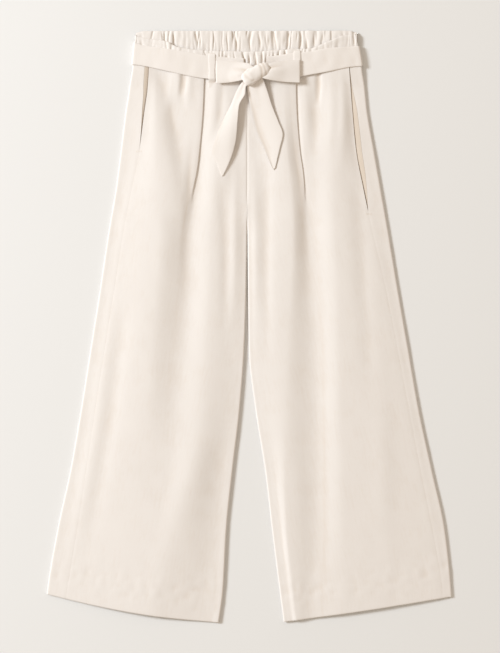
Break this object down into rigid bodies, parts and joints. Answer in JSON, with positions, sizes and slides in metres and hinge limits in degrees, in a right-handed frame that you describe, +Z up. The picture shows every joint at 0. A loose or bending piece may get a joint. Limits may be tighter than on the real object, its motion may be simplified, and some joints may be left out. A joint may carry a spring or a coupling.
{
  "type": "wide straight-leg trousers with a tie belt",
  "caption": "Wide straight-leg trousers laid flat, with a gathered elastic waistband, front pleats, open side-seam pockets and a self-cloth tie belt in a bow.",
  "frame": {"origin": "on the surface the garment lies on, under the middle of its outline", "axes": "+Y from the hems to the waist, +Z up off the surface, +X to the right of a viewer who looks down on the front"},
  "size_m": [0.6472, 0.9455, 0.0225],
  "materials": {
    "ivory_crepe": "matt, fine crepe weave",
    "ivory_crepe_belt": "matt, fine crepe weave, double layer",
    "ivory_crepe_inside": "matt, fine crepe weave, in shade"
  },
  "bodies": {
    "root": {"front_left": "ivory_crepe", "front_right": "ivory_crepe", "back_left": "ivory_crepe", "back_right": "ivory_crepe", "pocket_facing_left": "ivory_crepe_inside", "pocket_facing_right": "ivory_crepe_inside", "waistband_front": "ivory_crepe", "waistband_back": "ivory_crepe", "belt": "ivory_crepe_belt", "belt_loop_left": "ivory_crepe_belt", "belt_loop_right": "ivory_crepe_belt", "bow_knot": "ivory_crepe_belt", "bow_loop_left": "ivory_crepe_belt", "bow_loop_right": "ivory_crepe_belt", "bow_tail_left": "ivory_crepe_belt", "bow_tail_right": "ivory_crepe_belt"}
  },
  "joints": []
}
